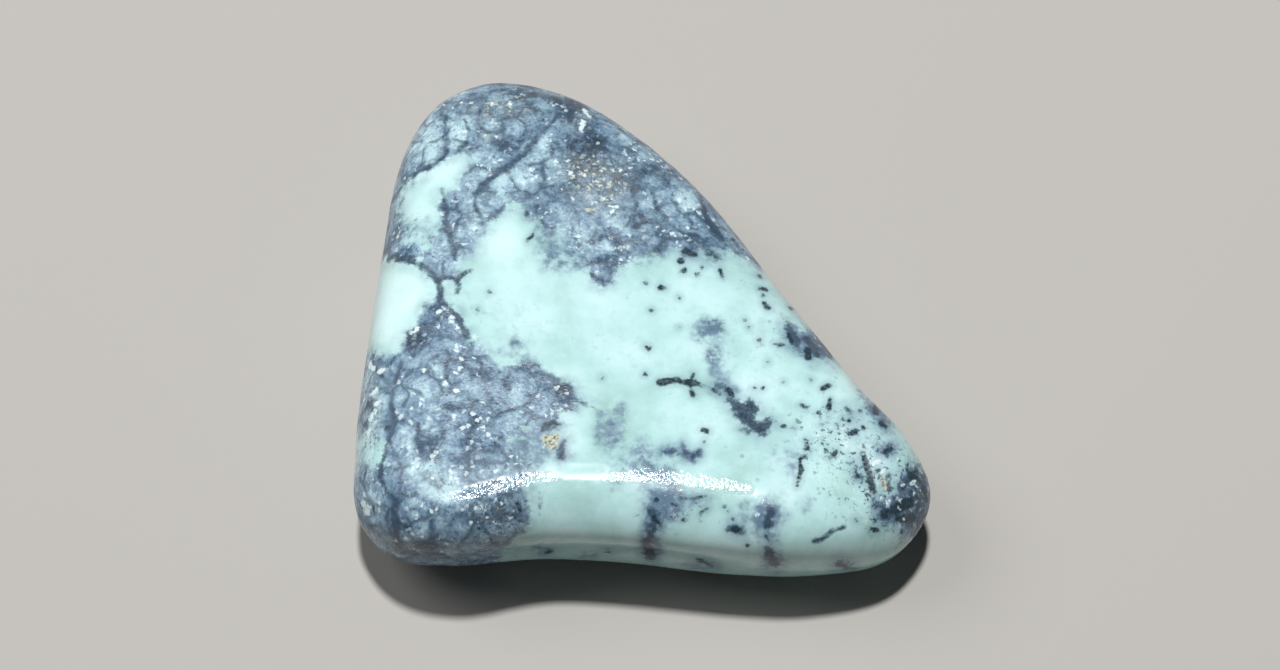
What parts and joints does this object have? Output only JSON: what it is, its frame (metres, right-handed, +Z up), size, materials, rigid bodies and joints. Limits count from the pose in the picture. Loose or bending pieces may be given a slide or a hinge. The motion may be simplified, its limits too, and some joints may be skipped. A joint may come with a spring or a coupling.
{
  "type": "tumbled serpentine pebble",
  "caption": "Flat rounded-triangular tumbled stone with a hollowed front edge, polished pale green serpentine with slate-blue veined patches.",
  "frame": {"origin": "on the surface the stone rests on, under the middle of its box", "axes": "+X to the right towards the narrow nose, +Y away from the viewer, +Z up"},
  "size_m": [0.029, 0.0288, 0.0081],
  "materials": {
    "serpentine": "tumble-polished, waxy, pale mint green mottled with dark slate blue"
  },
  "bodies": {
    "root": {"serpentine_pebble": "serpentine"}
  },
  "joints": []
}
